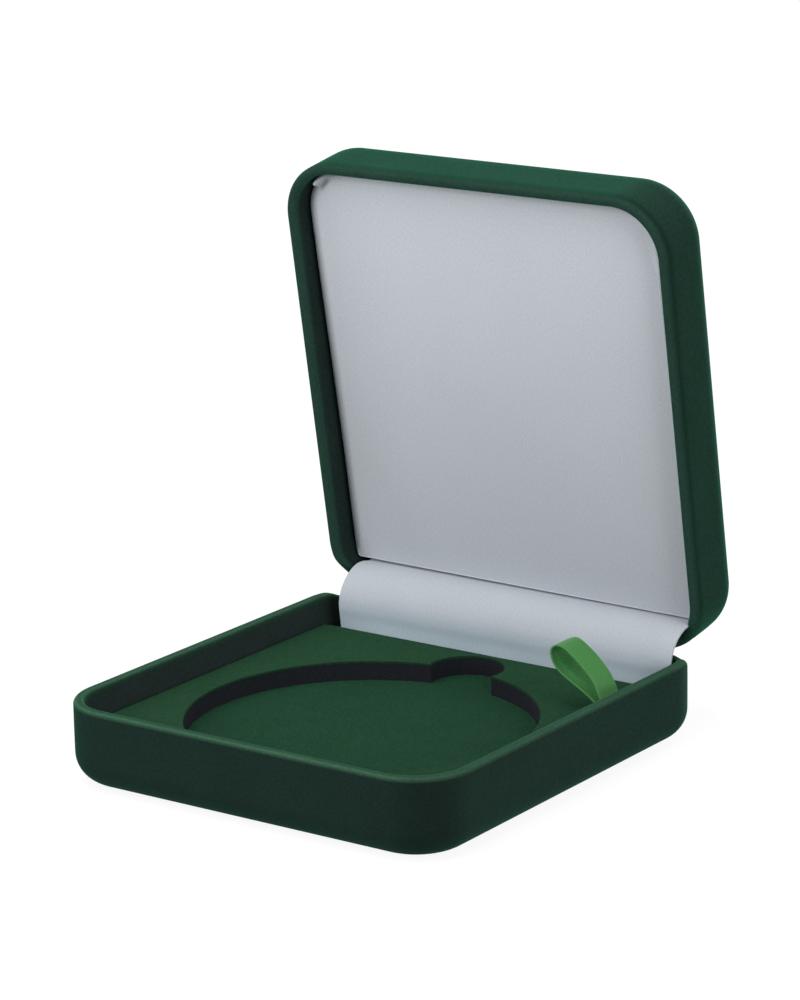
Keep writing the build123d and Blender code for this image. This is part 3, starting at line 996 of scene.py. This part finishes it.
# painted shade, darker toward the foot and toward one side
toSide = lining["fadeSide"] * smooth(verts[:, 0], *lining["fadeRun"])
addValue(liningSatin, "fade", np.clip(0.5 + verts[:, 1] / lining["fadeLength"] + toSide, 0, 1))
sharpen(liningSatin, 60)
satin = satinMaterial("satin", **satinLook)
dress(liningSatin, satin)
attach(liningSatin, "lid")
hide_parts("lid_satin")
verts, faces = panelMesh(waddingFill["inset"], lining["face"] - waddingFill["below"], waddingFill["low"],
                         waddingFill["roll"], waddingFill["crown"], 33)
lidWadding = makeObject("lidWadding", verts, faces, lidToRow)
wadding = plainMaterial("wadding", (0.66, 0.66, 0.64), (0.8, 0.8, 0.78), scale=900, rough=0.95, bump=0.0001)
dress(lidWadding, wadding)
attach(lidWadding, "lid")
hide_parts("lid_wadding")

# foam blocks in both halves, in each half's own coordinates; edge is insets and heights up their rounded edge
packing = {
    "halfWidth": 38.2,
    "low": -41.2,
    "corner": 4.5,
    "edge": [(1.2, 0.0), (0.35, 0.08), (0.0, 0.5)],
    "sag": 0.03,
    "sagScale": 22,
}


# A plain cut block of foam with soft corners and slightly uneven faces
def foamBlock(name, high, bottom, top, toRow, seed):
    low = packing["low"]
    core, way, radius = roundedStations(packing["halfWidth"], low, high, packing["corner"], packing["corner"],
                                        perSide=14, perCorner=10)
    middle = (bottom + top) / 2
    profile = [(inset, bottom + rise) for inset, rise in packing["edge"]] + [(0.0, middle)]
    profile += [(inset, top - rise) for inset, rise in packing["edge"][::-1]]
    rings = [level(core + way * (radius - inset)[:, None], z) for inset, z in profile]
    edge = rings[-1][:, :2]
    centre = np.array([0.0, (low + high) / 2])
    for share in np.linspace(1, 0.05, 12)[1:]:
        rings.append(level(centre + (edge - centre) * share, top))
    verts = np.concatenate(rings)
    verts[:, 2] += (middle - verts[:, 2]) * sag(verts, packing["sag"], packing["sagScale"], seed)
    return makeObject(name, verts, cappedFaces(len(rings), len(core)), toRow)


basePacking = foamBlock("basePacking", 37.1, 1.95, 4.7, baseToRow, 41)
dress(basePacking, foamShader)
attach(basePacking, "base")
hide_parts("base_packing")
lidPacking = foamBlock("lidPacking", 36.6, case["floor"], lining["low"], lidToRow, 43)
dress(lidPacking, foamShader)
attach(lidPacking, "lid")
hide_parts("lid_packing")
print("lining")

# hinge flap: path in y and z, from behind the insert, over the hinge, to below the lining panel; sway is its
# depth, turn and start, ripple its depth, turn and slant
flap = {
    "halfWidth": 41.2,
    "shift": 2.0,
    "thick": 0.35,
    "points": 90,
    "acrossPoints": 91,
    "freeFrom": 0.2,
    "freeLength": 0.75,
    "sway": (0.10, 0.21, 1.0),
    "ripple": (0.07, 0.47, 4),
    "swayWay": (0.7, 0.6),
    "rise": 0.6,
    "riseRun": (0.55, 0.85),
    # lowRun is where the painted light on the flap's lower part fades out
    "lowRun": (11.5, 19.0),
    "path": [(39.0, 3.6), (39.0, 7.0), (39.0, 10.0), (38.75, 12.5), (38.4, 15.0), (38.6, 17.0), (39.55, 19.0),
             (41.2, 20.8), (43.2, 21.95), (45.4, 22.45), (47.5, 22.35), (49.5, 21.95), (51.6, 22.3)],
}
twillLook = {
    "light": (0.505, 0.542, 0.588),
    "shade": (0.39, 0.427, 0.470),
    # painted light on the flap's lower part
    "low": (1.22, 1.34, 1.40),
    "twill": 0.065,
}


# The flap sways a little where it is free, and its upper part rises with the panel's askew foot
def flapPoint(yz, x, row):
    share = row / (flap["points"] - 1)
    free = math.sin(math.pi * min(max((share - flap["freeFrom"]) / flap["freeLength"], 0), 1))
    toSide = 0.5 - x / (2 * lining["halfWidth"])
    rise = flap["rise"] * lining["askew"] * toSide * float(smooth(share, *flap["riseRun"]))
    depth, turn, start = flap["sway"]
    sway = depth * math.sin(x * turn + start) * free
    depth, turn, slant = flap["ripple"]
    sway += depth * math.sin(x * turn + share * slant) * free
    wayY, wayZ = flap["swayWay"]
    return (x, yz[0] + sway * wayY, yz[1] + sway * wayZ + rise)


line, flapLength = smoothPath(flap["path"], flap["points"])
acrossFlap = np.linspace(-flap["halfWidth"], flap["halfWidth"], flap["acrossPoints"]) + flap["shift"]
verts, faces, uv = stripMesh(line, acrossFlap, flap["thick"], flapPoint)
hingeFlap = makeObject("hingeFlap", verts, faces, baseToRow)
addUv(hingeFlap, uv)
sharpen(hingeFlap, 60)
# painted light: the flap is lighter and bluer below this height
addValue(hingeFlap, "low", 1 - smooth([v[2] for v in verts], *flap["lowRun"]))
twill = satinMaterial("twill", **twillLook)
dress(hingeFlap, twill)
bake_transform(hingeFlap)
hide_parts("hinge_flap")
print("flap", round(flapLength, 1))

# pieces that keep their CAD shape
card = plainMaterial("card", (0.30, 0.25, 0.18), (0.40, 0.34, 0.25), scale=700, rough=0.85, stretch=(1, 4, 1))
paper = plainMaterial("paper", (0.016, 0.016, 0.017), (0.028, 0.028, 0.028), scale=1100, rough=0.8)
steel = plainMaterial("steel", (0.40, 0.40, 0.41), (0.58, 0.58, 0.58), scale=1500, rough=0.35, metal=1.0,
                      stretch=(12, 1, 1), bump=0.000006)
spring = plainMaterial("spring", (0.22, 0.23, 0.26), (0.36, 0.37, 0.39), scale=1300, rough=0.3, metal=1.0,
                       stretch=(1, 1, 10), bump=0.000006)
kept = {
    "insert_card": card,
    "lid_board": card,
    "flap_batten": card,
    "floor_liner": paper,
    "hinge_base_leaf": steel,
    "hinge_lid_leaf": steel,
    "hinge_pin": steel,
    "snap_spring": spring,
}
for node, shader in kept.items():
    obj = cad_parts[node]
    dress(obj, shader)
    for polygon in obj.data.polygons:
        polygon.use_smooth = True
    sharpen(obj, 30)
print("kept pieces")

# stage: levels are for the light on the object and for the backdrop as seen; fade is where the lit floor ends
studio = {
    "floorHalf": 6.0,
    "floorColour": (0.9, 0.9, 0.9),
    "floorLevels": (0.40, 1.05),
    "glowShare": 0.86,
    "fade": (0.07, 0.30),
    "worldLevels": (0.27, 1.0),
}
lights = {
    "overhead": {"place": (-0.12, -0.12, 0.92), "target": (0, 0, 0.03), "size": 0.9, "power": 7.6,
                 "colour": (1.0, 0.99, 0.98)},
    "key": {"place": (1.22, -0.45, 0.55), "target": (0, 0.02, 0.05), "size": 0.8, "power": 8.7},
    "side": {"place": (-0.25, -0.40, 0.25), "target": (0, 0.02, 0.07), "size": 0.3, "power": 1.0},
    "rear": {"place": (0.05, 1.15, 0.38), "target": (0, 0.05, 0.05), "size": 0.5, "power": 7.5},
}
shot = {
    "place": (436.35, -601.25, 255.65),
    "azimuth": 35.676,
    "elevation": 15.263,
    "roll": -1.068,
    "lens": 141.165,
    "film": 36.0,
}


# One for the rays that see the backdrop, straight or in a shine, and none for those that light the object
def seenShare(tree):
    paths = tree.nodes.new("ShaderNodeLightPath")
    total = paths.outputs["Is Camera Ray"]
    for name in ("Is Glossy Ray", "Is Transmission Ray"):
        either = tree.nodes.new("ShaderNodeMath")
        either.operation = "MAXIMUM"
        tree.links.new(total, either.inputs[0])
        tree.links.new(paths.outputs[name], either.inputs[1])
        total = either.outputs["Value"]
    return total


# A white ground: lit in part near the object, so that its shadow stays, and at one plain level farther off
def studioMaterial():
    material = bpy.data.materials.new("floorWhite")
    material.use_nodes = True
    tree = material.node_tree
    add, link = tree.nodes.new, tree.links.new
    tree.nodes.clear()
    out, mix = add("ShaderNodeOutputMaterial"), add("ShaderNodeMixShader")
    lit, glow = add("ShaderNodeBsdfDiffuse"), add("ShaderNodeEmission")
    lit.inputs["Color"].default_value = (*studio["floorColour"], 1)
    glow.inputs["Color"].default_value = (1, 1, 1, 1)
    strength = add("ShaderNodeMapRange")
    strength.inputs["To Min"].default_value, strength.inputs["To Max"].default_value = studio["floorLevels"]
    link(seenShare(tree), strength.inputs["Value"])
    link(strength.outputs["Result"], glow.inputs["Strength"])
    away = add("ShaderNodeVectorMath")
    away.operation = "LENGTH"
    link(add("ShaderNodeTexCoord").outputs["Object"], away.inputs[0])
    fade = add("ShaderNodeMapRange")
    fade.interpolation_type = "SMOOTHSTEP"
    fade.inputs["From Min"].default_value, fade.inputs["From Max"].default_value = studio["fade"]
    fade.inputs["To Min"].default_value = studio["glowShare"]
    fade.inputs["To Max"].default_value = 1.0
    link(away.outputs["Value"], fade.inputs["Value"])
    link(fade.outputs["Result"], mix.inputs["Fac"])
    link(lit.outputs["BSDF"], mix.inputs[1])
    link(glow.outputs["Emission"], mix.inputs[2])
    link(mix.outputs["Shader"], out.inputs["Surface"])
    return material


def makeFloor():
    half = studio["floorHalf"]
    mesh = bpy.data.meshes.new("floor")
    mesh.from_pydata([(-half, -half, 0), (half, -half, 0), (half, half, 0), (-half, half, 0)], [], [(0, 1, 2, 3)])
    floor = bpy.data.objects.new("floor", mesh)
    scene.collection.objects.link(floor)
    mesh.materials.append(studioMaterial())


def makeLight(name, place, target, size, power, colour=(1.0, 1.0, 1.0)):
    lamp = bpy.data.lights.new(name, "AREA")
    lamp.shape = "RECTANGLE"
    lamp.size = lamp.size_y = size
    lamp.energy = power
    lamp.color = colour
    obj = bpy.data.objects.new(name, lamp)
    scene.collection.objects.link(obj)
    obj.location = place
    obj.rotation_euler = (Vector(target) - Vector(place)).to_track_quat("-Z", "Y").to_euler()


makeFloor()
for name, light in lights.items():
    makeLight(name, **light)

world = bpy.data.worlds.new("studio")
scene.world = world
world.use_nodes = True
tree = world.node_tree
mixed = tree.nodes.new("ShaderNodeMix")
mixed.data_type = "FLOAT"
tree.links.new(seenShare(tree), mixed.inputs["Factor"])
mixed.inputs["A"].default_value, mixed.inputs["B"].default_value = studio["worldLevels"]
tree.links.new(mixed.outputs["Result"], tree.nodes["Background"].inputs["Strength"])
tree.nodes["Background"].inputs["Color"].default_value = (1, 1, 1, 1)

azimuth, elevation, roll = (math.radians(shot[k]) for k in ("azimuth", "elevation", "roll"))
flat = math.cos(elevation)
back = Vector((math.sin(azimuth) * flat, -math.cos(azimuth) * flat, math.sin(elevation)))
right = Vector((math.cos(azimuth), math.sin(azimuth), 0))
up = back.cross(right)
turnedRight = right * math.cos(roll) + up * math.sin(roll)
turnedUp = up * math.cos(roll) - right * math.sin(roll)
lens = bpy.data.cameras.new("camera")
lens.sensor_fit = "VERTICAL"
lens.sensor_height = shot["film"]
lens.lens = shot["lens"]
lens.clip_start, lens.clip_end = 0.01, 20
camera = bpy.data.objects.new("camera", lens)
scene.collection.objects.link(camera)
camera.matrix_world = Matrix.Translation([v * mm for v in shot["place"]]) @ Matrix((
    (turnedRight.x, turnedUp.x, back.x, 0),
    (turnedRight.y, turnedUp.y, back.y, 0),
    (turnedRight.z, turnedUp.z, back.z, 0),
    (0, 0, 0, 1)))
scene.camera = camera
scene.render.engine = "CYCLES"
scene.view_settings.view_transform = "Standard"
print("stage")
